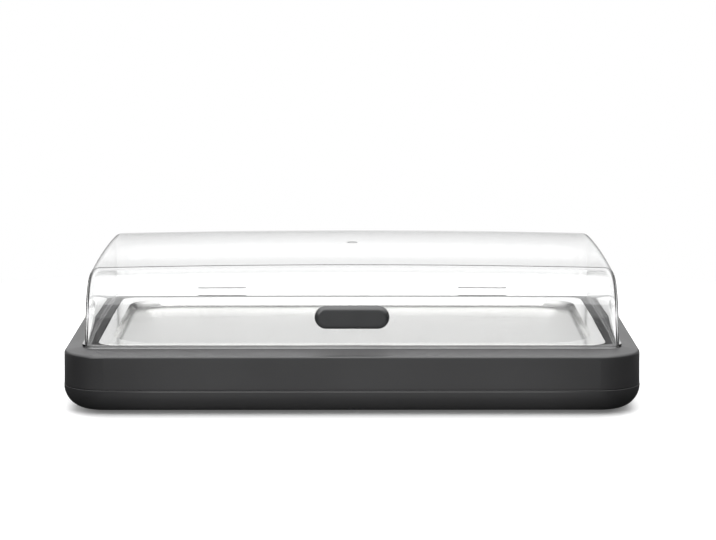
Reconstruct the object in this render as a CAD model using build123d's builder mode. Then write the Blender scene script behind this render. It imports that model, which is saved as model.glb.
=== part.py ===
from build123d import *
import os
from math import asin, atan2, cos, hypot, pi, radians, sin, tan

os.makedirs("parts", exist_ok=True)

# A cooled buffet display: an insulated base, a steel tray over two cold packs, and a clear hinged cover.
# It stands on its feet at z = 0 with its middle over the origin. Its front faces -Y. Sizes are in mm.

# Tray, of the GN 1/1 size
tray_width = 530.0
tray_depth = 325.0
tray_corner = 18.0
tray_rim = 12.0
pan_corner = 50.0
tray_sheet = 0.8
tray_recess = 10.0
tray_hem = 2.4
tray_draft = 25.0
tray_floor_fillet = 3.0
tray_fit = 0.6
pan_fit = 0.7

# Cover
cover_side_space = 9.0
cover_front_space = 14.0
cover_wall = 3.0
cover_height = 83.2
cover_draft = 1.1
cover_end_draft = 1.4
cover_long_radius = 47.0
cover_side_radius = 11.0
cover_arch = 5.4
cover_crown = 3.4
bead_reach = 2.5
bead_height = 3.0
bead_round = 1.0
gate_mark_place = 14.0
gate_mark_radius = 5.5
gate_mark_sink = 0.4

# Base shell and frame
seat_margin = 0.5
rail_width = 19.3
rail_rise = 5.0
rail_round = 3.0
base_corner = 45.0
plastic_wall = 3.0
frame_draft = 0.5
shell_step = 0.4
shell_height = 24.6
shell_curve = 24.0
seam_gap = 0.8
tongue_rise = 3.5
tongue_wall = 1.5
tongue_root = 7.0
tongue_fit = 0.3
ledge_sink = 2.0

# Insulation, well and cold packs
foam_floor = 15.5
foam_border = 6.0
foam_corner = 25.0
foam_fit = 0.3
well_wall = 2.5
well_draft = 3.0
well_floor_fillet = 8.0
well_flange = 11.0
divider_width = 4.0
divider_height = 8.0
pack_height = 30.0
pack_corner = 40.0
pack_round = 6.0
pack_skin = 1.8
pack_air = 3.6
pack_gap = 2.0
pack_end_space = 4.5
pack_side_space = 7.0
gel_fit = 0.2
plug_radius = 12.0
plug_cap = 1.5
plug_stem_radius = 9.0
plug_stem = 6.0
plug_fit = 0.1
plug_inset = 34.0

# Feet
foot_lift = 3.0
foot_radius = 12.0
foot_sink = 1.2
foot_stem_radius = 3.0
foot_inset = 60.0
foot_fit = 0.1
foot_round = 0.8

# Hinges
hinge_inset = 125.0
lug_width = 56.0
lug_height = 12.0
lug_pad = 3.5
lug_bite = 1.0
lug_strap = 4.0
strap_drop = 4.0
knuckle_radius = 4.5
pin_radius = 1.5
pin_run_fit = 0.05
pin_hold_fit = 0.02
pin_back = 10.5
pin_drop = 10.0
notch_gap = 0.7
notch_sill_drop = 1.8
ear_wall = 4.0
bracket_wall = 2.5
bracket_floor_gap = 1.0
bracket_flange = 12.3
bracket_fit = 0.2

# Posts, bosses and screws
post_radius = 5.0
boss_radius = 6.5
post_inset = 14.5
corner_post_reach = 25.5
shell_screw_radius = 2.0
shell_screw_length = 30.0
shell_screw_head = 3.6
shell_screw_head_height = 2.4
shell_screw_seat = 6.0
bracket_boss_radius = 4.0
bracket_screw_radius = 1.5
bracket_screw_length = 10.0
bracket_screw_head = 2.8
bracket_screw_head_height = 1.8
handle_screw_radius = 1.5
handle_screw_length = 14.0
handle_screw_head = 2.8
handle_screw_head_height = 1.8
screw_fit = 0.02
screw_clearance = 0.3
pilot_spare = 1.5
cross_width = 0.9
cross_share = 0.6

# Handle
handle_length = 77.0
handle_height = 24.0
handle_plate = 8.0
handle_neck = 7.0
handle_neck_length = 58.0
handle_neck_height = 11.0
handle_centre = 33.5
handle_front_round = 5.0
handle_back_round = 1.5
backplate_thickness = 2.0
handle_screw_spread = 18.0


def grown(plan, reach):
    """A plan, as width, depth and corner radius, moved out by the reach on every side."""
    width, depth, corner = plan
    return width + 2 * reach, depth + 2 * reach, corner + reach


def outline(plan, height):
    """The rounded rectangle of a plan, at a height."""
    with BuildSketch(Plane.XY.offset(height)) as shape:
        RectangleRounded(*plan)
    return shape.sketch


def block(plan, bottom, top, mode=Mode.ADD):
    """An upright block with plumb walls."""
    extrude(outline(plan, bottom), amount=top - bottom, mode=mode)


def leaning_block(low_plan, bottom, high_plan, top, mode=Mode.ADD):
    """A block whose plan changes from its bottom to its top."""
    loft([outline(low_plan, bottom), outline(high_plan, top)], ruled=True, mode=mode)


def band(outer_plan, inner_plan, bottom, top):
    """An upright wall between two plans."""
    ring = outline(outer_plan, bottom) - outline(inner_plan, bottom)
    extrude(ring, amount=top - bottom)


def discs(radius, bottom, top, places, mode=Mode.ADD):
    """Upright cylinders at places in plan."""
    with BuildSketch(Plane.XY.offset(bottom)) as circles:
        with Locations(*places):
            Circle(radius)
    extrude(circles.sketch, amount=top - bottom, mode=mode)


def lowest_edges(piece):
    """The edges round a piece's underside."""
    return piece.faces().sort_by(Axis.Z)[0].edges()


def screw_group(seat, radius, length, head, head_height, places):
    """Pan-head screws whose shanks run along the seat plane's normal, with a cross in each head."""
    with BuildPart() as group:
        with BuildSketch(seat):
            with Locations(*places):
                Circle(radius)
        extrude(amount=length)
        with BuildSketch(seat):
            with Locations(*places):
                Circle(head)
        extrude(amount=-head_height)
        crowns = group.faces().filter_by(
            lambda face: abs(seat.to_local_coords(face.center()).Z + head_height) < head_height / 10
        )
        fillet(crowns.edges(), radius=head_height / 2)
        with BuildSketch(seat.offset(-head_height)):
            with Locations(*places):
                Rectangle(2 * head * cross_share, cross_width)
                Rectangle(cross_width, 2 * head * cross_share)
        extrude(amount=head_height * cross_share, mode=Mode.SUBTRACT)
    return group


# Heights, worked out from the stack that stands on the table
shell_bottom = foot_lift
foam_bottom = shell_bottom + plastic_wall
well_bottom = foam_bottom + foam_floor
pack_bottom = well_bottom + well_wall
pack_top = pack_bottom + pack_height
tray_bottom = pack_top + pack_air
tray_top = tray_bottom + tray_sheet + tray_recess
ledge_top = tray_top - tray_hem
ledge_bottom = ledge_top - plastic_wall
flange_bottom = ledge_bottom - well_wall
seat_top = ledge_top + ledge_sink
edge_top = seat_top - rail_rise
shell_top = shell_bottom + shell_height
frame_bottom = shell_top + seam_gap
cover_top = seat_top + cover_height

# Plans, worked out from the tray outwards
tray_plan = (tray_width, tray_depth, tray_corner)
pan_plan = (tray_width - 2 * tray_rim, tray_depth - 2 * tray_rim, pan_corner)
ledge_plan = grown(tray_plan, tray_fit)
mouth_plan = grown(pan_plan, tray_sheet + pan_fit)
cover_width = tray_width + 2 * (cover_side_space + cover_wall)
cover_depth = tray_depth + 2 * (cover_front_space + cover_wall)
cover_plan = (cover_width, cover_depth, cover_side_radius)
bead_plan = grown(cover_plan, bead_reach)
seat_plan = grown(bead_plan, seat_margin)
seat_depth = seat_plan[1]
frame_lean = (edge_top - frame_bottom) * tan(radians(frame_draft))
edge_corner = base_corner - shell_step - frame_lean
edge_plan = (seat_plan[0] + 2 * rail_width, seat_depth + 2 * rail_width, edge_corner)
edge_depth = edge_plan[1]
frame_plan = grown(edge_plan, frame_lean)
base_plan = grown(frame_plan, shell_step)
base_width, base_depth = base_plan[:2]

# Screw places in plan: a post in each corner of the base and one in the middle of each side
corner_x = base_width / 2 - base_corner + corner_post_reach * cos(radians(45))
corner_y = base_depth / 2 - base_corner + corner_post_reach * sin(radians(45))
side_x = base_width / 2 - post_inset
side_y = base_depth / 2 - post_inset
post_places = [(x, y) for x in (-corner_x, corner_x) for y in (-corner_y, corner_y)]
post_places += [(-side_x, 0), (side_x, 0), (0, -side_y), (0, side_y)]
shell_screw_z = foam_bottom + shell_screw_seat

# Hinge sizes: the pin's axis, the bracket under the rear rail and the notch that the lug swings through
hinge_spread = cover_width / 2 - hinge_inset
pin_y = seat_depth / 2 + pin_back
pin_z = seat_top - pin_drop
notch_width = lug_width + 2 * notch_gap
notch_sill = pin_z - notch_sill_drop
ear_outside = notch_width / 2 + ear_wall
bracket_bottom = pin_z - knuckle_radius - bracket_floor_gap - bracket_wall
bracket_plate_top = bracket_bottom + bracket_wall
bracket_front = seat_depth / 2 - bracket_wall
bracket_back = edge_depth / 2 - plastic_wall - bracket_fit
bracket_y = (bracket_front + bracket_back) / 2
bracket_screw_x = ear_outside + bracket_flange / 2
bracket_screw_places = [
    (hinge_x + end_x, bracket_y)
    for hinge_x in (-hinge_spread, hinge_spread)
    for end_x in (-bracket_screw_x, bracket_screw_x)
]

# Lower shell: a shallow dish with a quarter-round under-curve, eight screw bosses and a locating tongue
foot_x = base_width / 2 - foot_inset
foot_y = base_depth / 2 - foot_inset
foot_places = {
    "front_left": (-foot_x, -foot_y),
    "front_right": (foot_x, -foot_y),
    "rear_left": (-foot_x, foot_y),
    "rear_right": (foot_x, foot_y),
}
tongue_plan = grown(frame_plan, -plastic_wall - tongue_fit)
tongue_inside = grown(tongue_plan, -tongue_wall)
tongue_bottom = shell_top - tongue_root
tongue_shoulder = shell_top - shell_step

with BuildPart() as shell_hollow:
    block(grown(base_plan, -plastic_wall), foam_bottom, shell_top)
    fillet(lowest_edges(shell_hollow), radius=shell_curve - plastic_wall)
    discs(boss_radius, foam_bottom, shell_top, post_places, mode=Mode.SUBTRACT)

with BuildPart() as lower_shell:
    block(base_plan, shell_bottom, shell_top)
    fillet(lowest_edges(lower_shell), radius=shell_curve)
    fillet(lower_shell.faces().sort_by(Axis.Z)[-1].edges(), radius=shell_step)
    add(shell_hollow.part, mode=Mode.SUBTRACT)
    discs(boss_radius, tongue_bottom, frame_bottom, post_places)
    band(grown(base_plan, -plastic_wall / 2), tongue_inside, tongue_bottom, tongue_shoulder)
    band(tongue_plan, tongue_inside, tongue_shoulder, frame_bottom + tongue_rise)
    discs(shell_screw_radius + screw_clearance, shell_bottom, frame_bottom, post_places, mode=Mode.SUBTRACT)
    discs(shell_screw_head + screw_clearance, 0, shell_screw_z, post_places, mode=Mode.SUBTRACT)
    discs(foot_radius + foot_fit, 0, shell_bottom + foot_sink, foot_places.values(), mode=Mode.SUBTRACT)
    discs(foot_stem_radius + foot_fit, 0, foam_bottom, foot_places.values(), mode=Mode.SUBTRACT)
lower_shell.part.label = "lower_shell"
export_step(lower_shell.part, "parts/lower_shell.step")

# Upper frame: an upright wall, a rail that climbs to the cover's seat, and the tray's ledge
rail_slope = rail_rise / rail_width
inner_edge_top = edge_top - plastic_wall + plastic_wall * rail_slope
inner_lean = (inner_edge_top - frame_bottom) * tan(radians(frame_draft))
inner_plan = grown(frame_plan, -plastic_wall)
inner_edge_plan = grown(inner_plan, -inner_lean)

with BuildPart() as frame_hollow:
    leaning_block(inner_plan, frame_bottom, inner_edge_plan, inner_edge_top)
    leaning_block(inner_edge_plan, inner_edge_top, seat_plan, seat_top - plastic_wall)
    discs(post_radius, frame_bottom, seat_top, post_places, mode=Mode.SUBTRACT)
    discs(bracket_boss_radius, bracket_plate_top, seat_top, bracket_screw_places, mode=Mode.SUBTRACT)

with BuildPart() as upper_frame:
    leaning_block(frame_plan, frame_bottom, edge_plan, edge_top)
    leaning_block(edge_plan, edge_top, seat_plan, seat_top)
    brim = upper_frame.edges().filter_by(lambda edge: abs(edge.center().Z - edge_top) < rail_rise / 10)
    fillet(brim, radius=rail_round)
    add(frame_hollow.part, mode=Mode.SUBTRACT)
    block(grown(ledge_plan, plastic_wall), ledge_bottom, seat_top)
    block(ledge_plan, ledge_top, seat_top, mode=Mode.SUBTRACT)
    block(mouth_plan, ledge_bottom, ledge_top, mode=Mode.SUBTRACT)
    pilot_top = shell_screw_z + shell_screw_length + pilot_spare
    discs(shell_screw_radius + screw_fit, frame_bottom, pilot_top, post_places, mode=Mode.SUBTRACT)
    bracket_pilot_top = bracket_bottom + bracket_screw_length + pilot_spare
    bracket_pilot = bracket_screw_radius + screw_fit
    discs(bracket_pilot, bracket_bottom, bracket_pilot_top, bracket_screw_places, mode=Mode.SUBTRACT)
    with BuildSketch(Plane.XY.offset(notch_sill)):
        with Locations((-hinge_spread, seat_depth / 2), (hinge_spread, seat_depth / 2)):
            Rectangle(notch_width, base_depth - seat_depth, align=(Align.CENTER, Align.MIN))
    extrude(amount=seat_top - notch_sill, mode=Mode.SUBTRACT)
upper_frame.part.label = "upper_frame"
export_step(upper_frame.part, "parts/upper_frame.step")

# Insulation: one foam block that stands on the shell's floor and carries the well
well_plan = grown(mouth_plan, well_wall)
well_lean = (ledge_bottom - well_bottom) * tan(radians(well_draft))
foam_width, foam_depth = grown(well_plan, well_flange + foam_border)[:2]

with BuildPart() as insulation_block:
    block((foam_width, foam_depth, foam_corner), foam_bottom, flange_bottom)
    leaning_block(
        grown(well_plan, foam_fit - well_lean),
        well_bottom,
        grown(well_plan, foam_fit),
        flange_bottom,
        mode=Mode.SUBTRACT,
    )
insulation_block.part.label = "insulation_block"
export_step(insulation_block.part, "parts/insulation_block.step")

# Well: a drafted tub with a flange under the ledge, and a divider between the packs
floor_lean = (ledge_bottom - pack_bottom) * tan(radians(well_draft))
floor_plan = grown(mouth_plan, -floor_lean)
floor_width, floor_depth = floor_plan[:2]
divider_length = floor_depth - 2 * well_floor_fillet

with BuildPart() as well_space:
    leaning_block(floor_plan, pack_bottom, mouth_plan, ledge_bottom)
    fillet(lowest_edges(well_space), radius=well_floor_fillet)

with BuildPart() as cold_well:
    leaning_block(grown(well_plan, -well_lean), well_bottom, well_plan, ledge_bottom)
    fillet(lowest_edges(cold_well), radius=well_floor_fillet + well_wall)
    block(grown(well_plan, well_flange), flange_bottom, ledge_bottom)
    add(well_space.part, mode=Mode.SUBTRACT)
    with BuildSketch(Plane.XY.offset(pack_bottom - well_wall / 2)):
        Rectangle(divider_width, divider_length)
    extrude(amount=divider_height + well_wall / 2)
cold_well.part.label = "cold_well"
export_step(cold_well.part, "parts/cold_well.step")

# Cold pack sizes: each pack fills its half of the well's floor
pack_length = (floor_width - divider_width) / 2 - pack_gap - pack_end_space
pack_depth = floor_depth - 2 * pack_side_space


def pack_body(middle, inset):
    """A cold pack's rounded slab, drawn in by the inset on every side."""
    with BuildPart() as body:
        with BuildSketch(Plane.XY.offset(pack_bottom + inset)):
            with Locations((middle, 0)):
                RectangleRounded(*grown((pack_length, pack_depth, pack_corner), -inset))
        extrude(amount=pack_height - 2 * inset)
        heights = body.edges().group_by(Axis.Z)
        fillet(heights[0] + heights[-1], radius=pack_round - inset)
    return body.part


# Cold packs: blow-moulded bodies, each with its gel and its filler plug
plug_bottom = pack_top - plug_stem
for side, name in ((-1, "left"), (1, "right")):
    pack_x = side * (divider_width / 2 + pack_gap + pack_length / 2)
    plug_place = [(pack_x + side * (pack_length / 2 - plug_inset), plug_inset - pack_depth / 2)]
    pack_outside = pack_body(pack_x, 0)
    pack_inside = pack_body(pack_x, pack_skin)
    gel_block = pack_body(pack_x, pack_skin + gel_fit)

    with BuildPart() as cold_pack:
        add(pack_outside)
        add(pack_inside, mode=Mode.SUBTRACT)
        discs(plug_stem_radius + plug_fit, plug_bottom, pack_top, plug_place, mode=Mode.SUBTRACT)
    cold_pack.part.label = f"cold_pack_{name}"
    export_step(cold_pack.part, f"parts/cold_pack_{name}.step")

    with BuildPart() as cooling_gel:
        add(gel_block)
        discs(plug_stem_radius + gel_fit, plug_bottom - gel_fit, pack_top, plug_place, mode=Mode.SUBTRACT)
    cooling_gel.part.label = f"cooling_gel_{name}"
    export_step(cooling_gel.part, f"parts/cooling_gel_{name}.step")

    with BuildPart() as pack_plug:
        discs(plug_stem_radius, plug_bottom, pack_top, plug_place)
        discs(plug_radius, pack_top, pack_top + plug_cap, plug_place)
    pack_plug.part.label = f"pack_plug_{name}"
    export_step(pack_plug.part, f"parts/pack_plug_{name}.step")

# Tray: a pressed steel pan with a flat rim that is hemmed down all round
pan_lean = tray_recess * tan(radians(tray_draft))
pan_outside_lean = (tray_recess + tray_sheet) * tan(radians(tray_draft))
pan_outside = grown(pan_plan, tray_sheet)

with BuildPart() as pan_space:
    leaning_block(grown(pan_plan, -pan_lean), tray_bottom + tray_sheet, pan_plan, tray_top)
    fillet(lowest_edges(pan_space), radius=tray_floor_fillet)

with BuildPart() as serving_tray:
    leaning_block(grown(pan_outside, -pan_outside_lean), tray_bottom, pan_outside, tray_top)
    fillet(lowest_edges(serving_tray), radius=tray_floor_fillet + tray_sheet)
    block(tray_plan, tray_top - tray_sheet, tray_top)
    band(tray_plan, grown(tray_plan, -tray_sheet), ledge_top, tray_top - tray_sheet)
    crest = serving_tray.faces().sort_by(Axis.Z)[-1]
    fillet(crest.outer_wire().edges(), radius=tray_sheet / 2)
    add(pan_space.part, mode=Mode.SUBTRACT)
serving_tray.part.label = "serving_tray"
export_step(serving_tray.part, "parts/serving_tray.step")

# Cover: a clear roll-shaped box with a bead round its foot, arched from front to rear and crowned sideways
def cover_section(x, top, inset):
    """The cover's profile from front to rear at one x: leaning walls, large radii and an arched top."""
    half = cover_depth / 2 - inset
    shoulder_z = top - cover_arch
    shoulder_y = half - (shoulder_z - seat_top) * tan(radians(cover_draft))
    with BuildSketch(Plane.YZ.offset(x)) as profile:
        with BuildLine():
            Line((half, seat_top), (-half, seat_top))
            Line((-half, seat_top), (-shoulder_y, shoulder_z))
            ThreePointArc((-shoulder_y, shoulder_z), (0, top), (shoulder_y, shoulder_z))
            Line((shoulder_y, shoulder_z), (half, seat_top))
        make_face()
        fillet(profile.vertices().sort_by(Axis.Y)[-2:], radius=cover_long_radius - inset)
    return profile.sketch


def cover_block(inset):
    """The cover's outside, or its inside when drawn in by the wall."""
    half = cover_width / 2 - inset
    crest = half - cover_height * tan(radians(cover_end_draft))
    beyond = half + cover_wall
    drop = cover_crown * (beyond / half) ** 2
    top = cover_top - inset
    with BuildPart() as body:
        loft(
            [
                cover_section(-beyond, top - drop, inset),
                cover_section(0, top, inset),
                cover_section(beyond, top - drop, inset),
            ]
        )
        with BuildSketch(Plane.XZ):
            corners = [(-half, seat_top), (half, seat_top), (crest, cover_top), (-crest, cover_top)]
            Polygon(*corners, align=None)
        extrude(amount=cover_depth, both=True, mode=Mode.INTERSECT)
        for end in (0, -1):
            side = body.faces().sort_by(Axis.X)[end]
            arch = side.edges().filter_by(lambda edge: edge.center().Z > seat_top + bead_height)
            fillet(arch, radius=cover_side_radius - inset)
    return body.part


cover_outside = cover_block(0)
cover_inside = cover_block(cover_wall)
wall_y = cover_depth / 2

# The strap's outer line is tangent to the knuckle and ends on the pad, strap_drop below the pad's top.
# Places are (y, z) in the side view.
strap_y = wall_y + lug_pad
strap_z = seat_top + lug_height - strap_drop
strap_run = hypot(strap_y - pin_y, strap_z - pin_z)
strap_angle = atan2(strap_z - pin_z, strap_y - pin_y) + asin(knuckle_radius / strap_run)
inward = (cos(strap_angle + pi / 2), sin(strap_angle + pi / 2))
touch = (pin_y - knuckle_radius * inward[0], pin_z - knuckle_radius * inward[1])
strap_outline = [
    touch,
    (strap_y, strap_z),
    (strap_y + lug_strap * inward[0], strap_z + lug_strap * inward[1]),
    (touch[0] + lug_strap * inward[0], touch[1] + lug_strap * inward[1]),
]
pad_outline = [
    (wall_y - lug_bite, seat_top),
    (strap_y, seat_top),
    (strap_y, seat_top + lug_height - lug_pad / 2),
    (strap_y - lug_pad / 2, seat_top + lug_height),
    (wall_y - lug_bite, seat_top + lug_height),
]

# The handle's plane lies on the cover's leaning front wall and looks out of it.
handle_lean = handle_centre * tan(radians(cover_draft))
handle_plane = Plane(
    origin=(0, handle_lean - wall_y, seat_top + handle_centre),
    x_dir=(1, 0, 0),
    z_dir=(0, -cos(radians(cover_draft)), sin(radians(cover_draft))),
)
handle_screw_places = [(-handle_screw_spread, 0), (handle_screw_spread, 0)]

with BuildPart() as clear_cover:
    add(cover_outside)
    block(bead_plan, seat_top, seat_top + bead_height)
    bead_sides = clear_cover.edges().filter_by(
        lambda edge: abs(edge.center().Z - seat_top - bead_height) < bead_round / 10
        and max(abs(edge.center().X) - cover_width / 2, abs(edge.center().Y) - wall_y) > 0
    )
    fillet(bead_sides, radius=bead_round)
    for hinge_x in (-hinge_spread, hinge_spread):
        with BuildSketch(Plane.YZ.offset(hinge_x - lug_width / 2)):
            Polygon(*pad_outline, align=None)
            Polygon(*strap_outline, align=None)
            with Locations((pin_y, pin_z)):
                Circle(knuckle_radius)
        extrude(amount=lug_width)
    add(cover_inside, mode=Mode.SUBTRACT)
    for hinge_x in (-hinge_spread, hinge_spread):
        with BuildSketch(Plane.YZ.offset(hinge_x - lug_width / 2)):
            with Locations((pin_y, pin_z)):
                Circle(pin_radius + pin_run_fit)
        extrude(amount=lug_width, mode=Mode.SUBTRACT)
    gate_mark_z = cover_top - cover_arch * (gate_mark_place / wall_y) ** 2 - gate_mark_sink
    gate_place = [(0, gate_mark_place)]
    discs(gate_mark_radius, gate_mark_z, cover_top + gate_mark_sink, gate_place, mode=Mode.SUBTRACT)
    with BuildSketch(handle_plane):
        with Locations(*handle_screw_places):
            Circle(handle_screw_radius + screw_clearance)
    extrude(amount=2 * cover_wall, both=True, mode=Mode.SUBTRACT)
clear_cover.part.label = "clear_cover"
export_step(clear_cover.part, "parts/clear_cover.step")

# Handle: a stadium grip that stands off the cover's front wall on a neck. The neck's root and the backplate
# start inside the wall and are cut back to it, so that they follow its curve.
neck_root = cover_wall / 2
rear_plane = handle_plane.offset(handle_neck)
with BuildPart() as handle_grip:
    with BuildSketch(handle_plane.offset(-neck_root)):
        SlotOverall(handle_neck_length, handle_neck_height)
    extrude(amount=neck_root + handle_neck)
    with BuildSketch(rear_plane):
        SlotOverall(handle_length, handle_height)
    extrude(amount=handle_plate)
    plate_faces = handle_grip.faces().sort_by(Axis.Y)
    fillet(plate_faces[0].edges(), radius=handle_front_round)
    rear_face = handle_grip.faces().filter_by(
        lambda face: abs(rear_plane.to_local_coords(face.center()).Z) < handle_back_round / 10
    )
    fillet(rear_face[0].outer_wire().edges(), radius=handle_back_round)
    pilot_depth = handle_screw_length - cover_wall - backplate_thickness + pilot_spare
    with BuildSketch(handle_plane.offset(-neck_root)):
        with Locations(*handle_screw_places):
            Circle(handle_screw_radius + screw_fit)
    extrude(amount=neck_root + pilot_depth, mode=Mode.SUBTRACT)
    add(cover_outside, mode=Mode.SUBTRACT)
handle_grip.part.label = "handle_grip"
export_step(handle_grip.part, "parts/handle_grip.step")

# Backplate and screws inside the cover, behind the grip
backplate_plane = handle_plane.offset(-cover_wall - backplate_thickness)
with BuildPart() as handle_backplate:
    with BuildSketch(backplate_plane):
        SlotOverall(handle_neck_length, handle_neck_height)
        with Locations(*handle_screw_places):
            Circle(handle_screw_radius + screw_clearance, mode=Mode.SUBTRACT)
    extrude(amount=backplate_thickness + neck_root)
    add(cover_inside, mode=Mode.INTERSECT)
handle_backplate.part.label = "handle_backplate"
export_step(handle_backplate.part, "parts/handle_backplate.step")

handle_screws = screw_group(
    backplate_plane,
    handle_screw_radius,
    handle_screw_length,
    handle_screw_head,
    handle_screw_head_height,
    handle_screw_places,
)
handle_screws.part.label = "handle_screws"
export_step(handle_screws.part, "parts/handle_screws.step")

# Hinge brackets and pins: a trough under each notch whose ears hold the pin
ear_top = seat_top - plastic_wall - bracket_fit
ear_outline = [
    (bracket_front, bracket_bottom),
    (bracket_back, bracket_bottom),
    (bracket_back, ear_top - (bracket_back - seat_depth / 2) * rail_slope),
    (seat_depth / 2, ear_top),
    (bracket_front, ear_top),
]
for side, name in ((-1, "left"), (1, "right")):
    hinge_x = side * hinge_spread
    ear_plane = Plane.YZ.offset(hinge_x - ear_outside)

    with BuildPart() as hinge_bracket:
        with BuildSketch(ear_plane):
            Polygon(*ear_outline, align=None)
        extrude(amount=2 * ear_outside)
        with BuildSketch(Plane.XY.offset(bracket_plate_top)):
            with Locations((hinge_x, seat_depth / 2)):
                Rectangle(notch_width, rail_width, align=(Align.CENTER, Align.MIN))
        extrude(amount=seat_top - bracket_plate_top, mode=Mode.SUBTRACT)
        with BuildSketch(Plane.XY.offset(bracket_bottom)):
            with Locations((hinge_x, bracket_y)):
                Rectangle(2 * (ear_outside + bracket_flange), bracket_back - bracket_front)
        extrude(amount=bracket_wall)
        with BuildSketch(ear_plane):
            with Locations((pin_y, pin_z)):
                Circle(pin_radius + pin_hold_fit)
        extrude(amount=2 * ear_outside, mode=Mode.SUBTRACT)
        screw_hole = bracket_screw_radius + screw_clearance
        own_places = [place for place in bracket_screw_places if place[0] * side > 0]
        discs(screw_hole, bracket_bottom, bracket_plate_top, own_places, mode=Mode.SUBTRACT)
    hinge_bracket.part.label = f"hinge_bracket_{name}"
    export_step(hinge_bracket.part, f"parts/hinge_bracket_{name}.step")

    with BuildPart() as hinge_pin:
        with BuildSketch(ear_plane):
            with Locations((pin_y, pin_z)):
                Circle(pin_radius)
        extrude(amount=2 * ear_outside)
        chamfer(hinge_pin.edges().filter_by(GeomType.CIRCLE), length=pin_radius / 5)
    hinge_pin.part.label = f"hinge_pin_{name}"
    export_step(hinge_pin.part, f"parts/hinge_pin_{name}.step")

# Screws that are driven from below: the brackets' into the frame, and the shell's into the frame
bracket_screws = screw_group(
    Plane.XY.offset(bracket_bottom),
    bracket_screw_radius,
    bracket_screw_length,
    bracket_screw_head,
    bracket_screw_head_height,
    bracket_screw_places,
)
bracket_screws.part.label = "bracket_screws"
export_step(bracket_screws.part, "parts/bracket_screws.step")

shell_screws = screw_group(
    Plane.XY.offset(shell_screw_z),
    shell_screw_radius,
    shell_screw_length,
    shell_screw_head,
    shell_screw_head_height,
    post_places,
)
shell_screws.part.label = "shell_screws"
export_step(shell_screws.part, "parts/shell_screws.step")

# Feet: rubber buttons in shallow sockets, each held by a stem through the shell's floor
for name, place in foot_places.items():
    with BuildPart() as foot:
        discs(foot_radius, 0, shell_bottom + foot_sink, [place])
        fillet(lowest_edges(foot), radius=foot_round)
        discs(foot_stem_radius, shell_bottom, foam_bottom, [place])
    foot.part.label = f"foot_{name}"
    export_step(foot.part, f"parts/foot_{name}.step")
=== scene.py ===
import math

import bmesh
import bpy
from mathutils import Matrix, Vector


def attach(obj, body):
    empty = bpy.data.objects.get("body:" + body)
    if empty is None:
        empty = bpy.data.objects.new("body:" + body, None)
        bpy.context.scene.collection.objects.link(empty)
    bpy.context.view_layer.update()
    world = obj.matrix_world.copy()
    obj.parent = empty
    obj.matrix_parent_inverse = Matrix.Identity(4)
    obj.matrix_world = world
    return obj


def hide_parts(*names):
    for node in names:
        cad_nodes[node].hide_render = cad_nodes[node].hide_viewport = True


# A cooled buffet display in a pale studio. Sizes are in metres.
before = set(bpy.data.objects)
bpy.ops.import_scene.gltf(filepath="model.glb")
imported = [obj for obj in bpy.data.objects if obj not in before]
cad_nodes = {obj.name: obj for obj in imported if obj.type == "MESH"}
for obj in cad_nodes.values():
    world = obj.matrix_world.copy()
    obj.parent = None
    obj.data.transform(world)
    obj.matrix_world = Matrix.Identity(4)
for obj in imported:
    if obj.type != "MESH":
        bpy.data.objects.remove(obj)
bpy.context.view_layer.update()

# Camera, straight ahead of the display and a little above it
camera_place = (0.0, -2.808, 0.545)
camera_pitch = math.radians(8.559)
camera_yaw = math.radians(0.134)
camera_lens = 130.0
camera_clip = (0.05, 200.0)

# Clear cover, at the sizes of its CAD node
cover_foot = 0.068
cover_width = 0.554
cover_depth = 0.359
cover_height = 0.0832
cover_wall = 0.003
cover_draft = math.radians(1.1)
cover_end_draft = math.radians(1.4)
cover_roll = 0.047
cover_end_round = 0.011
cover_arch = 0.0054
cover_crown = 0.0034
roll_segments = 24
end_segments = 8
bead_height = 0.003
bead_reach = 0.0025
gate_mark_y = 0.014
gate_mark_radius = 0.0055
gate_mark_sink = 0.0004
plane_tolerance = 0.00003

# Cuts across both skins of the cover, so that their flat top can arch: axis and reach from the middle
top_cuts = {0: 0.26, 1: 0.12}
cuts_each_way = 12

# Hinge lugs of the cover and the pins that they turn on. Their straps are 1 mm thinner and leave the pads
# lower than in the CAD node.
lug_x = 0.152
lug_width = 0.056
lug_height = 0.012
lug_pad = 0.0035
lug_bite = 0.001
lug_strap = 0.003
strap_drop = 0.0114
knuckle_radius = 0.0045
pin_bore = 0.00155
pin_y, pin_z = 0.193, 0.058

# The part of a pattern that goes from the darkest to the lightest tone of a finish, and the part that
# goes from its lowest to its highest roughness
tone_span = (0.3, 0.7)
roughness_span = (0.35, 0.65)

# A painted highlight on the lower shell: a lighter line just under the seam, where its top edge catches
# the light. It ends softly at both sides.
seam_highlight_line = {"heights": (0.0257, 0.0265), "half_size": (0.245, 1.0), "fade": 0.04, "grey": 0.11}

# Painted oblongs in the middle of a piece. Beside the tray, inside the cover's foot, the frame is matt
# and has painted shade.
# The floor of the tray is a little darker and rougher than its rim, and the fold round it has painted
# shade.
ledge_matt_and_shade = {
    "half_size": (0.2735, 0.1600),
    "corner": 0.011,
    "edge": 0.001,
    "share": 0.7,
    "roughness": 0.65,
}
tray_floor = {
    "half_size": (0.2495, 0.1470),
    "corner": 0.045,
    "edge": 0.002,
    "share": 0.96,
    "roughness": 0.26,
}
tray_fold_shade = {
    "half_size": (0.2510, 0.1485),
    "corner": 0.048,
    "edge": 0.0026,
    "share": 0.28,
    "roughness": None,
}

# Screw holes of the handle in the front wall
handle_hole_x = 0.018
handle_hole_radius = 0.0018
handle_hole_z = 0.1015

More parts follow.
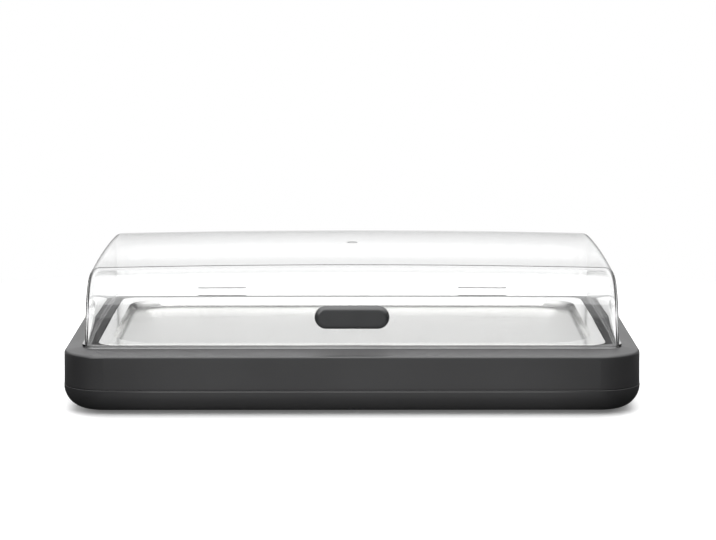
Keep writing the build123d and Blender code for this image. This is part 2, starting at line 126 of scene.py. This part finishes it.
# Studio floor. The camera sees it light, and pure white far away. Mirrored it is darker, most of all to
# the sides, and lighter behind the display. Each pair holds the distances between which a change runs.
floor_size = 60.0
floor_roughness = 0.9
floor_seen = 0.73
floor_glow = 0.13
floor_mirrored_near = 0.20
floor_mirrored_far = 0.02
floor_mirrored_rear = 0.45
floor_flank = (0.20, 0.29)
floor_behind = (0.20, 0.30)
floor_beyond = (0.45, 0.85)
seen_white = 1.0

# Studio room. The camera sees it white. The display mirrors and is lit by these steps, each the sine of
# the height above the horizon and a strength. Low down to the sides the room is dark. The top is the
# strength that full white in the ramp stands for.
room_steps = (
    (-1.00, 0.12),
    (0.00, 0.55),
    (0.045, 0.80),
    (0.07, 0.90),
    (0.12, 1.02),
    (0.17, 1.12),
    (0.20, 1.03),
    (0.215, 0.87),
    (0.235, 0.80),
    (0.28, 0.95),
    (0.42, 0.95),
    (0.50, 1.20),
    (0.74, 1.20),
    (0.82, 0.30),
    (1.00, 0.30),
)
room_top = 1.5
room_sides = (0.0, 0.40)
room_side_share = 0.05
room_side_heights = (0.20, 0.40)
softboxes = {
    "top_softbox": {
        "place": (0.0, -1.3, 2.3),
        "aim": (0.0, -1.3, 0.0),
        "size": (3.6, 4.4),
        "power": 105.0,
    },
    "strip_softbox": {
        "place": (0.0, 0.5, 2.3),
        "aim": (0.0, 0.5, 0.0),
        "size": (3.0, 0.8),
        "power": 60.0,
    },
    "front_softbox": {
        "place": (-2.2, -3.2, 1.3),
        "aim": (0.0, 0.0, 0.1),
        "size": (1.6, 1.2),
        "power": 24.0,
    },
}


def link(tree, start, end):
    """Joins an output socket to an input socket."""
    tree.links.new(start, end)


def group_tree(name, inputs, outputs):
    """An empty shader node group with number inputs and their defaults, and number outputs."""
    tree = bpy.data.node_groups.new(name, "ShaderNodeTree")
    tree.interface.new_socket("Vector", in_out="INPUT", socket_type="NodeSocketVector")
    for label, value in inputs.items():
        socket = tree.interface.new_socket(label, in_out="INPUT", socket_type="NodeSocketFloat")
        socket.default_value = value
    for label in outputs:
        tree.interface.new_socket(label, in_out="OUTPUT", socket_type="NodeSocketFloat")
    return tree, tree.nodes.new("NodeGroupInput"), tree.nodes.new("NodeGroupOutput")


def noise_node(tree, vector, scale, detail, roughness=0.5):
    """A noise texture read at a vector socket. The scale may be a number or a socket."""
    noise = tree.nodes.new("ShaderNodeTexNoise")
    noise.inputs["Detail"].default_value = detail
    noise.inputs["Roughness"].default_value = roughness
    link(tree, vector, noise.inputs["Vector"])
    if isinstance(scale, float):
        noise.inputs["Scale"].default_value = scale
    else:
        link(tree, scale, noise.inputs["Scale"])
    return noise.outputs["Fac"]


def spread_node(tree, value, low, high, new_low, new_high):
    """Maps a value from one range to another. Each new limit may be a number or a socket."""
    spread = tree.nodes.new("ShaderNodeMapRange")
    link(tree, value, spread.inputs["Value"])
    spread.inputs["From Min"].default_value = low
    spread.inputs["From Max"].default_value = high
    for label, limit in (("To Min", new_low), ("To Max", new_high)):
        if isinstance(limit, float):
            spread.inputs[label].default_value = limit
        else:
            link(tree, limit, spread.inputs[label])
    return spread.outputs["Result"]


def math_node(tree, operation, first, second=0.0):
    """A sum, product or other reckoning on a socket and a second socket or number."""
    node = tree.nodes.new("ShaderNodeMath")
    node.operation = operation
    link(tree, first, node.inputs[0])
    if isinstance(second, float):
        node.inputs[1].default_value = second
    else:
        link(tree, second, node.inputs[1])
    return node.outputs["Value"]


def square(tree, value):
    """A socket's value times itself."""
    return math_node(tree, "MULTIPLY", value, value)


def fade_between(tree, squared, distances, start, end):
    """Goes from a start to an end value between two distances, from the square of a distance."""
    near, far = distances
    return spread_node(tree, squared, near**2, far**2, start, end)


def blend_finish(tree, entry, leave, fine, fine_share, slow, slow_share):
    """Blends two patterns into a finish's tone and roughness. Its height is the fine one."""
    fine_part = math_node(tree, "MULTIPLY", fine, fine_share)
    slow_part = math_node(tree, "MULTIPLY", slow, slow_share)
    mixed = math_node(tree, "ADD", fine_part, slow_part)
    limits = (entry.outputs["Low Roughness"], entry.outputs["High Roughness"])
    link(tree, spread_node(tree, mixed, *tone_span, 0.0, 1.0), leave.inputs["Tone"])
    link(tree, spread_node(tree, mixed, *roughness_span, *limits), leave.inputs["Roughness"])
    link(tree, fine, leave.inputs["Height"])


def make_grain_group():
    """Moulded grain: a fine texture, slow tone drift and a roughness that follows both."""
    tree, entry, leave = group_tree(
        "moulded_grain",
        {"Grain Scale": 1500.0, "Drift Scale": 9.0, "Low Roughness": 0.35, "High Roughness": 0.5},
        ("Tone", "Roughness", "Height"),
    )
    grain = noise_node(tree, entry.outputs["Vector"], entry.outputs["Grain Scale"], 3.0, 0.6)
    drift = noise_node(tree, entry.outputs["Vector"], entry.outputs["Drift Scale"], 4.0)
    blend_finish(tree, entry, leave, grain, 0.3, drift, 0.7)
    return tree


def make_brushing_group():
    """Brushed metal: long fine strokes along X with uneven patches."""
    tree, entry, leave = group_tree(
        "brushed_strokes",
        {"Low Roughness": 0.2, "High Roughness": 0.35},
        ("Tone", "Roughness", "Height"),
    )
    stretch = tree.nodes.new("ShaderNodeMapping")
    stretch.inputs["Scale"].default_value = (6.0, 1400.0, 1400.0)
    link(tree, entry.outputs["Vector"], stretch.inputs["Vector"])
    strokes = noise_node(tree, stretch.outputs["Vector"], 1.0, 4.0, 0.65)
    patches = noise_node(tree, entry.outputs["Vector"], 14.0, 3.0)
    blend_finish(tree, entry, leave, strokes, 0.6, patches, 0.4)
    return tree


def make_middle_group():
    """Two soft masks over the middle of a piece: a rounded oblong and the line round it."""
    tree, entry, leave = group_tree(
        "middle_part",
        {"Half Width": 0.25, "Half Depth": 0.15, "Corner": 0.04, "Edge": 0.002},
        ("Mask", "Line"),
    )
    axes = tree.nodes.new("ShaderNodeSeparateXYZ")
    link(tree, entry.outputs["Vector"], axes.inputs["Vector"])
    squares = []
    for axis, label in (("X", "Half Width"), ("Y", "Half Depth")):
        reach = math_node(tree, "ABSOLUTE", axes.outputs[axis])
        straight = math_node(tree, "SUBTRACT", entry.outputs[label], entry.outputs["Corner"])
        beyond = math_node(tree, "MAXIMUM", math_node(tree, "SUBTRACT", reach, straight), 0.0)
        squares.append(square(tree, beyond))
    away = math_node(tree, "SQRT", math_node(tree, "ADD", *squares))
    depth = math_node(tree, "SUBTRACT", entry.outputs["Corner"], away)
    inside = math_node(tree, "DIVIDE", depth, entry.outputs["Edge"])
    mask = spread_node(tree, inside, 0.0, 1.0, 0.0, 1.0)
    rim = spread_node(tree, inside, 1.0, 2.0, 1.0, 0.0)
    link(tree, mask, leave.inputs["Mask"])
    link(tree, math_node(tree, "MULTIPLY", mask, rim), leave.inputs["Line"])
    return tree


def make_line_group():
    """A soft mask that is 1 between two heights."""
    tree, entry, leave = group_tree(
        "level_line",
        {"Low": 0.0, "High": 0.001, "Edge": 0.0005},
        ("Mask",),
    )
    axes = tree.nodes.new("ShaderNodeSeparateXYZ")
    link(tree, entry.outputs["Vector"], axes.inputs["Vector"])
    above = math_node(tree, "SUBTRACT", axes.outputs["Z"], entry.outputs["Low"])
    below = math_node(tree, "SUBTRACT", entry.outputs["High"], axes.outputs["Z"])
    nearest = math_node(tree, "MINIMUM", above, below)
    share = math_node(tree, "DIVIDE", nearest, entry.outputs["Edge"])
    link(tree, spread_node(tree, share, -0.5, 0.5, 0.0, 1.0), leave.inputs["Mask"])
    return tree


grain_group = make_grain_group()
brushing_group = make_brushing_group()
middle_group = make_middle_group()
line_group = make_line_group()


def place_group(tree, group, settings):
    """A group that is read at the place on the piece, with its other inputs set."""
    place = tree.nodes.new("ShaderNodeTexCoord")
    node = tree.nodes.new("ShaderNodeGroup")
    node.node_tree = group
    link(tree, place.outputs["Object"], node.inputs["Vector"])
    for label, value in settings.items():
        node.inputs[label].default_value = value
    return node.outputs


def finish_material(name, group, settings, dark, light, bump_depth, **sockets):
    """A material whose colour, roughness and bump come from a group. Other sockets are set plain."""
    material = bpy.data.materials.new(name)
    material.use_nodes = True
    tree = material.node_tree
    shader = tree.nodes["Principled BSDF"]
    pattern = place_group(tree, group, settings)
    tones = tree.nodes.new("ShaderNodeMix")
    tones.data_type = "RGBA"
    tones.inputs["A"].default_value = (*dark, 1.0)
    tones.inputs["B"].default_value = (*light, 1.0)
    link(tree, pattern["Tone"], tones.inputs["Factor"])
    link(tree, tones.outputs["Result"], shader.inputs["Base Color"])
    link(tree, pattern["Roughness"], shader.inputs["Roughness"])
    bump = tree.nodes.new("ShaderNodeBump")
    bump.inputs["Distance"].default_value = bump_depth
    link(tree, pattern["Height"], bump.inputs["Height"])
    link(tree, bump.outputs["Normal"], shader.inputs["Normal"])
    for label, value in sockets.items():
        shader.inputs[label.replace("_", " ")].default_value = value
    return material


def tint(tree, mask, grey, blend_type):
    """Mixes a grey into the colour of a material, or multiplies it in, where a mask is 1."""
    colour = tree.nodes["Principled BSDF"].inputs["Base Color"]
    tones = tree.nodes.new("ShaderNodeMix")
    tones.data_type = "RGBA"
    tones.blend_type = blend_type
    tones.inputs["B"].default_value = (grey,) * 3 + (1.0,)
    link(tree, mask, tones.inputs["Factor"])
    link(tree, colour.links[0].from_socket, tones.inputs["A"])
    link(tree, tones.outputs["Result"], colour)


def middle_masks(tree, half_size, corner, edge):
    """The masks of an oblong in the middle of a piece."""
    width, depth = half_size
    settings = {"Half Width": width, "Half Depth": depth, "Corner": corner, "Edge": edge}
    return place_group(tree, middle_group, settings)


def change_middle(material, output, half_size, corner, edge, share, roughness):
    """Darkens the middle of a piece or the line round it to a share of its colour.

    The roughness there changes as well, unless it is None.
    """
    tree = material.node_tree
    mask = middle_masks(tree, half_size, corner, edge)[output]
    tint(tree, mask, share, "MULTIPLY")
    if roughness is not None:
        finish = tree.nodes["Principled BSDF"].inputs["Roughness"]
        pattern = finish.links[0].from_socket
        link(tree, spread_node(tree, mask, 0.0, 1.0, pattern, roughness), finish)


def draw_line(material, heights, half_size, fade, grey):
    """Paints a level line between two heights, inside a half width and a half depth."""
    tree = material.node_tree
    low, high = heights
    level = place_group(tree, line_group, {"Low": low, "High": high})["Mask"]
    middle = middle_masks(tree, half_size, fade, fade)["Mask"]
    tint(tree, math_node(tree, "MULTIPLY", level, middle), grey, "MIX")


def dress(material, *names):
    """Gives CAD nodes a material."""
    for name in names:
        mesh = cad_nodes[name].data
        mesh.materials.clear()
        mesh.materials.append(material)


def pick(piece, kind, test):
    """In edit mode, selects the vertices, edges or faces that pass a test, and nothing else."""
    bpy.ops.mesh.select_mode(type={"verts": "VERT", "edges": "EDGE", "faces": "FACE"}[kind])
    bpy.ops.mesh.select_all(action="DESELECT")
    shape = bmesh.from_edit_mesh(piece.data)
    for part in getattr(shape, kind):
        part.select_set(test(part))
    bmesh.update_edit_mesh(piece.data)


def corners_of(part):
    """The corner points of an edge or a face."""
    return [corner.co for corner in part.verts]


def new_block(name, middle, size):
    """A block at its size and place, in edit mode."""
    bpy.ops.object.select_all(action="DESELECT")
    bpy.ops.mesh.primitive_cube_add(size=1.0, location=middle, scale=size)
    bpy.ops.object.transform_apply(location=True, rotation=True, scale=True)
    piece = bpy.context.object
    piece.name = name
    bpy.ops.object.mode_set(mode="EDIT")
    return piece


def new_bar(name, outline, start, end):
    """A bar along X between two places, from an outline of (y, z) corners."""
    mesh = bpy.data.meshes.new(name)
    mesh.from_pydata([(start, y, z) for y, z in outline], [], [tuple(range(len(outline)))])
    piece = bpy.data.objects.new(name, mesh)
    bpy.context.scene.collection.objects.link(piece)
    bpy.ops.object.select_all(action="DESELECT")
    bpy.context.view_layer.objects.active = piece
    piece.select_set(True)
    bpy.ops.object.mode_set(mode="EDIT")
    bpy.ops.mesh.select_all(action="SELECT")
    bpy.ops.mesh.extrude_region_move(TRANSFORM_OT_translate={"value": (end - start, 0.0, 0.0)})
    bpy.ops.mesh.select_all(action="SELECT")
    bpy.ops.mesh.normals_make_consistent(inside=False)
    bpy.ops.object.mode_set(mode="OBJECT")
    return piece


def new_rod(name, middle, radius, length, axis, sides=48):
    """A round rod along X, Y or Z."""
    turn = {"X": (0.0, math.pi / 2, 0.0), "Y": (math.pi / 2, 0.0, 0.0), "Z": (0.0, 0.0, 0.0)}[axis]
    bpy.ops.object.select_all(action="DESELECT")
    bpy.ops.mesh.primitive_cylinder_add(
        vertices=sides, radius=radius, depth=length, location=middle, rotation=turn
    )
    bpy.ops.object.transform_apply(location=True, rotation=True, scale=True)
    piece = bpy.context.object
    piece.name = name
    return piece


def combine(piece, tool, operation):
    """Joins a tool's volume to a piece, or cuts it out, and removes the tool."""
    bpy.ops.object.select_all(action="DESELECT")
    bpy.context.view_layer.objects.active = piece
    piece.select_set(True)
    cut = piece.modifiers.new("combine", "BOOLEAN")
    cut.operation = operation
    cut.solver = "EXACT"
    cut.use_hole_tolerant = True
    cut.object = tool
    bpy.ops.object.modifier_apply(modifier=cut.name)
    bpy.data.objects.remove(tool)


def smooth(piece, angle=30.0):
    """Smooth shading that leaves edges sharper than the angle, with the flat faces kept flat."""
    bpy.ops.object.select_all(action="DESELECT")
    bpy.context.view_layer.objects.active = piece
    piece.select_set(True)
    bpy.ops.object.shade_smooth_by_angle(angle=math.radians(angle))
    weighted = piece.modifiers.new("flat_faces", "WEIGHTED_NORMAL")
    weighted.keep_sharp = True
    bpy.ops.object.modifier_apply(modifier=weighted.name)


def cover_skin(name, inset):
    """One skin of the cover, open at the foot, with rolled long edges, rounded ends and arched top."""
    width, depth, height = cover_width - 2 * inset, cover_depth - 2 * inset, cover_height - inset
    top = cover_foot + height
    middle = cover_foot + height / 2
    skin = new_block(name, (0.0, 0.0, middle), (width, depth, height))
    pick(skin, "faces", lambda face: all(c.z < middle for c in corners_of(face)))
    bpy.ops.mesh.delete(type="ONLY_FACE")
    pick(skin, "verts", lambda corner: corner.co.z > middle)
    bpy.ops.transform.resize(
        value=(
            1 - 2 * height * math.tan(cover_end_draft) / width,
            1 - 2 * height * math.tan(cover_draft) / depth,
            1,
        ),
        center_override=(0.0, 0.0, top),
    )
    pick(
        skin,
        "edges",
        lambda edge: all(c.z > top - height / 2 for c in corners_of(edge))
        and abs(edge.verts[0].co.y - edge.verts[1].co.y) < inset + cover_wall,
    )
    bpy.ops.mesh.bevel(
        offset=cover_roll - inset, segments=roll_segments, affect="EDGES", clamp_overlap=False
    )

    def on_end(corner, side):
        """Does a corner lie in the leaning end plane of a side, -1 or 1?"""
        lean = (corner.z - cover_foot) * math.tan(cover_end_draft)
        return abs(corner.x * side + lean - width / 2) < plane_tolerance

    pick(
        skin,
        "edges",
        lambda edge: any(all(on_end(c, side) for c in corners_of(edge)) for side in (-1, 1))
        and max(c.z for c in corners_of(edge)) > cover_foot + cover_wall,
    )
    bpy.ops.mesh.bevel(
        offset=cover_end_round - inset, segments=end_segments, affect="EDGES", clamp_overlap=False
    )
    for axis, reach in top_cuts.items():
        for step in range(-cuts_each_way, cuts_each_way + 1):
            place = [0.0, 0.0, 0.0]
            place[axis] = reach * step / cuts_each_way
            bpy.ops.mesh.select_all(action="SELECT")
            bpy.ops.mesh.bisect(plane_co=place, plane_no=(1.0 - axis, float(axis), 0.0))
    shape = bmesh.from_edit_mesh(skin.data)
    for corner in shape.verts:
        if corner.co.z > cover_foot + cover_wall:
            x, y, z = corner.co
            corner.co.z -= cover_arch * (2 * y / depth) ** 2 + cover_crown * (2 * x / width) ** 2
    bmesh.update_edit_mesh(skin.data)
    return skin


def make_bead():
    """In edit mode of the outer skin, pushes its lowest band out into the bead."""
    skin = bpy.context.object
    rim = cover_foot + bead_height
    bpy.ops.mesh.select_all(action="SELECT")
    bpy.ops.mesh.bisect(plane_co=(0.0, 0.0, rim), plane_no=(0.0, 0.0, 1.0))
    pick(skin, "faces", lambda face: max(c.z for c in corners_of(face)) < rim + bead_height / 10)
    bpy.ops.mesh.extrude_region_shrink_fatten(TRANSFORM_OT_shrink_fatten={"value": bead_reach})


def lug_outlines():
    """The (y, z) outlines of a hinge lug's pad and of the strap that runs down from it to the pin."""
    wall_y = cover_depth / 2
    strap_y = wall_y + lug_pad
    strap_z = cover_foot + lug_height - strap_drop
    pad = [
        (wall_y - lug_bite, cover_foot),
        (strap_y, cover_foot),
        (strap_y, cover_foot + lug_height - lug_pad / 2),
        (strap_y - lug_pad / 2, cover_foot + lug_height),
        (wall_y - lug_bite, cover_foot + lug_height),
    ]
    run = math.hypot(strap_y - pin_y, strap_z - pin_z)
    slope = math.atan2(strap_z - pin_z, strap_y - pin_y) + math.asin(knuckle_radius / run)
    inward = (math.cos(slope + math.pi / 2), math.sin(slope + math.pi / 2))
    touch = (pin_y - knuckle_radius * inward[0], pin_z - knuckle_radius * inward[1])
    strap = [
        touch,
        (strap_y, strap_z),
        (strap_y + lug_strap * inward[0], strap_z + lug_strap * inward[1]),
        (touch[0] + lug_strap * inward[0], touch[1] + lug_strap * inward[1]),
    ]
    return pad, strap


def make_clear_cover():
    """The cover: two skins bridged at the foot, bead, hinge lugs, handle holes and gate mark."""
    inner = cover_skin("cover_inside", cover_wall)
    bpy.ops.mesh.select_all(action="SELECT")
    bpy.ops.mesh.flip_normals()
    bpy.ops.object.mode_set(mode="OBJECT")
    cover = cover_skin("clear_cover_moulding", 0.0)
    make_bead()
    bpy.ops.object.mode_set(mode="OBJECT")
    inner.select_set(True)
    cover.select_set(True)
    bpy.context.view_layer.objects.active = cover
    bpy.ops.object.join()
    bpy.ops.object.mode_set(mode="EDIT")
    pick(cover, "edges", lambda edge: edge.is_boundary)
    bpy.ops.mesh.bridge_edge_loops()
    bpy.ops.object.mode_set(mode="OBJECT")
    pad, strap = lug_outlines()
    for middle_x in (-lug_x, lug_x):
        pin = (middle_x, pin_y, pin_z)
        ends = (middle_x - lug_width / 2, middle_x + lug_width / 2)
        lug = new_bar("lug", pad, *ends)
        combine(lug, new_bar("strap", strap, *ends), "UNION")
        combine(lug, new_rod("knuckle", pin, knuckle_radius, lug_width, "X"), "UNION")
        combine(lug, new_rod("bore", pin, pin_bore, 2 * lug_width, "X"), "DIFFERENCE")
        combine(cover, lug, "UNION")
    for hole_x in (-handle_hole_x, handle_hole_x):
        middle = (hole_x, -cover_depth / 2, handle_hole_z)
        hole = new_rod("hole", middle, handle_hole_radius, 8 * cover_wall, "Y")
        combine(cover, hole, "DIFFERENCE")
    mark_z = cover_foot + cover_height - gate_mark_sink
    middle = (0.0, gate_mark_y, mark_z + cover_wall / 2)
    mark = new_rod("mark", middle, gate_mark_radius, cover_wall, "Z")
    combine(cover, mark, "DIFFERENCE")
    smooth(cover)
    return cover


# Materials. The frame and the shell are of one plastic, and each then gets its own painted light: a
# highlight line on the shell, shade on the frame.
frame_plastic = finish_material(
    "frame_plastic",
    grain_group,
    {"Grain Scale": 1600.0, "Drift Scale": 8.0, "Low Roughness": 0.30, "High Roughness": 0.42},
    (0.020, 0.020, 0.021),
    (0.026, 0.026, 0.027),
    0.00003,
    Specular_IOR_Level=0.85,
)
shell_plastic = frame_plastic.copy()
shell_plastic.name = "shell_plastic"
# A painted highlight: a lighter line on the shell just under the seam
draw_line(shell_plastic, **seam_highlight_line)
dress(shell_plastic, "lower_shell")
# Painted shade on the frame's ledge inside the cover's foot, which is also made matt there
change_middle(frame_plastic, "Mask", **ledge_matt_and_shade)
dress(frame_plastic, "upper_frame")

handle_plastic = finish_material(
    "handle_plastic",
    grain_group,
    {"Grain Scale": 1800.0, "Drift Scale": 20.0, "Low Roughness": 0.26, "High Roughness": 0.36},
    (0.015, 0.016, 0.017),
    (0.022, 0.023, 0.024),
    0.00002,
    Specular_IOR_Level=0.95,
)
dress(handle_plastic, "handle_grip", "handle_backplate")

tray_steel = finish_material(
    "tray_steel",
    brushing_group,
    {"Low Roughness": 0.07, "High Roughness": 0.14},
    (0.70, 0.70, 0.69),
    (0.78, 0.78, 0.77),
    0.00001,
    Metallic=1.0,
)
change_middle(tray_steel, "Mask", **tray_floor)
# Painted shade in the fold round the tray's floor
change_middle(tray_steel, "Line", **tray_fold_shade)
dress(tray_steel, "serving_tray")

well_plastic = finish_material(
    "well_plastic",
    grain_group,
    {"Grain Scale": 1200.0, "Drift Scale": 6.0, "Low Roughness": 0.38, "High Roughness": 0.50},
    (0.10, 0.105, 0.11),
    (0.13, 0.135, 0.14),
    0.00003,
)
dress(well_plastic, "cold_well", "hinge_bracket_left", "hinge_bracket_right")

foam = finish_material(
    "foam",
    grain_group,
    {"Grain Scale": 300.0, "Drift Scale": 40.0, "Low Roughness": 0.75, "High Roughness": 0.9},
    (0.78, 0.76, 0.70),
    (0.86, 0.84, 0.79),
    0.0002,
)
dress(foam, "insulation_block")

pack_plastic = finish_material(
    "pack_plastic",
    grain_group,
    {"Grain Scale": 700.0, "Drift Scale": 15.0, "Low Roughness": 0.40, "High Roughness": 0.55},
    (0.16, 0.36, 0.62),
    (0.20, 0.42, 0.68),
    0.00008,
)
dress(pack_plastic, "cold_pack_left", "cold_pack_right")

gel = finish_material(
    "gel",
    grain_group,
    {"Grain Scale": 90.0, "Drift Scale": 12.0, "Low Roughness": 0.12, "High Roughness": 0.25},
    (0.30, 0.55, 0.70),
    (0.38, 0.64, 0.78),
    0.0001,
)
dress(gel, "cooling_gel_left", "cooling_gel_right")

plug_plastic = finish_material(
    "plug_plastic",
    grain_group,
    {"Grain Scale": 1200.0, "Drift Scale": 30.0, "Low Roughness": 0.35, "High Roughness": 0.45},
    (0.70, 0.71, 0.70),
    (0.78, 0.79, 0.78),
    0.00003,
)
dress(plug_plastic, "pack_plug_left", "pack_plug_right")

zinc = finish_material(
    "zinc",
    brushing_group,
    {"Low Roughness": 0.28, "High Roughness": 0.42},
    (0.50, 0.50, 0.48),
    (0.62, 0.62, 0.60),
    0.00001,
    Metallic=1.0,
)
dress(zinc, "bracket_screws", "shell_screws", "handle_screws", "hinge_pin_left", "hinge_pin_right")

rubber = finish_material(
    "rubber",
    grain_group,
    {"Grain Scale": 1100.0, "Drift Scale": 60.0, "Low Roughness": 0.62, "High Roughness": 0.78},
    (0.012, 0.012, 0.012),
    (0.020, 0.020, 0.020),
    0.00006,
)
dress(rubber, "foot_front_left", "foot_front_right", "foot_rear_left", "foot_rear_right")

clear_plastic = finish_material(
    "clear_plastic",
    grain_group,
    {"Grain Scale": 60.0, "Drift Scale": 7.0, "Low Roughness": 0.0, "High Roughness": 0.015},
    (0.985, 0.990, 0.990),
    (1.0, 1.0, 1.0),
    0.00001,
    Transmission_Weight=1.0,
    IOR=1.49,
)
cover_moulding = make_clear_cover()
cover_moulding.data.materials.append(clear_plastic)
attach(cover_moulding, "cover")
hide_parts("clear_cover")
dress(clear_plastic, "clear_cover")


def seen_directly(tree):
    """1 for what the camera sees, also through clear plastic, and 0 for light and reflections."""
    path = tree.nodes.new("ShaderNodeLightPath")
    bounces = math_node(tree, "ADD", path.outputs["Glossy Depth"], path.outputs["Diffuse Depth"])
    return math_node(tree, "LESS_THAN", bounces, 0.5)


def paint_floor():
    """The floor's material, with one look for the camera and one for light and reflections."""
    paint = bpy.data.materials.new("floor_paint")
    paint.use_nodes = True
    tree = paint.node_tree
    shader = tree.nodes["Principled BSDF"]
    tone = tree.nodes.new("ShaderNodeMix")
    tone.data_type = "RGBA"
    place = tree.nodes.new("ShaderNodeTexCoord")
    axes = tree.nodes.new("ShaderNodeSeparateXYZ")
    link(tree, place.outputs["Object"], axes.inputs["Vector"])
    aside = square(tree, axes.outputs["X"])
    near = fade_between(tree, aside, floor_flank, floor_mirrored_near, floor_mirrored_far)
    ahead = spread_node(tree, axes.outputs["Y"], *floor_behind, 1.0, 0.0)
    behind = spread_node(tree, axes.outputs["Y"], *floor_behind, 0.0, floor_mirrored_rear)
    mirrored = math_node(tree, "ADD", math_node(tree, "MULTIPLY", near, ahead), behind)
    link(tree, mirrored, tone.inputs["A"])
    away = math_node(tree, "ADD", aside, square(tree, axes.outputs["Y"]))
    link(tree, fade_between(tree, away, floor_beyond, floor_seen, 0.0), tone.inputs["B"])
    sight = seen_directly(tree)
    link(tree, sight, tone.inputs["Factor"])
    link(tree, tone.outputs["Result"], shader.inputs["Base Color"])
    shader.inputs["Emission Color"].default_value = (1.0, 1.0, 1.0, 1.0)
    shine = fade_between(tree, away, floor_beyond, floor_glow, seen_white)
    glow = math_node(tree, "MULTIPLY", sight, shine)
    link(tree, glow, shader.inputs["Emission Strength"])
    shader.inputs["Roughness"].default_value = floor_roughness
    shader.inputs["Specular IOR Level"].default_value = 0.0
    return paint


def paint_room():
    """The world, with one look for the camera and one for light and reflections."""
    world = bpy.data.worlds.new("studio_room")
    world.use_nodes = True
    tree = world.node_tree
    room = tree.nodes["Background"]
    ray = tree.nodes.new("ShaderNodeTexCoord")
    axes = tree.nodes.new("ShaderNodeSeparateXYZ")
    link(tree, ray.outputs["Generated"], axes.inputs["Vector"])
    rise = spread_node(tree, axes.outputs["Z"], -1.0, 1.0, 0.0, 1.0)
    light = tree.nodes.new("ShaderNodeValToRGB")
    steps = light.color_ramp.elements
    while len(steps) < len(room_steps):
        steps.new(0.5)
    for step, (sine, strength) in zip(steps, room_steps):
        step.position = (sine + 1.0) / 2.0
        step.color = (strength / room_top,) * 3 + (1.0,)
    link(tree, rise, light.inputs["Fac"])
    aside = square(tree, axes.outputs["X"])
    side_shade = fade_between(tree, aside, room_sides, 0.0, 1.0 - room_side_share)
    low = spread_node(tree, axes.outputs["Z"], *room_side_heights, 1.0, 0.0)
    low_shade = math_node(tree, "MULTIPLY", side_shade, low)
    side_light = spread_node(tree, low_shade, 0.0, 1.0, room_top, 0.0)
    mirrored = math_node(tree, "MULTIPLY", light.outputs["Color"], side_light)
    look = tree.nodes.new("ShaderNodeMix")
    link(tree, seen_directly(tree), look.inputs["Factor"])
    link(tree, mirrored, look.inputs["A"])
    look.inputs["B"].default_value = seen_white
    room.inputs["Color"].default_value = (1.0, 1.0, 1.0, 1.0)
    link(tree, look.outputs["Result"], room.inputs["Strength"])
    return world


# Floor, room, softboxes and camera
bpy.ops.mesh.primitive_plane_add(size=floor_size)
floor = bpy.context.object
floor.name = "studio_floor"
floor.data.materials.append(paint_floor())

bpy.context.scene.world = paint_room()
bpy.context.scene.view_settings.view_transform = "Standard"

for name, box in softboxes.items():
    bpy.ops.object.light_add(type="AREA", location=box["place"])
    lamp = bpy.context.object
    lamp.name = name
    lamp.data.shape = "RECTANGLE"
    lamp.data.size, lamp.data.size_y = box["size"]
    lamp.data.energy = box["power"]
    away = Vector(box["place"]) - Vector(box["aim"])
    lamp.rotation_euler = away.to_track_quat("Z", "Y").to_euler()
    lamp.visible_camera = False

camera_turn = (math.pi / 2 - camera_pitch, 0.0, -camera_yaw)
bpy.ops.object.camera_add(location=camera_place, rotation=camera_turn)
camera = bpy.context.object
camera.data.lens = camera_lens
camera.data.clip_start, camera.data.clip_end = camera_clip
bpy.context.scene.camera = camera
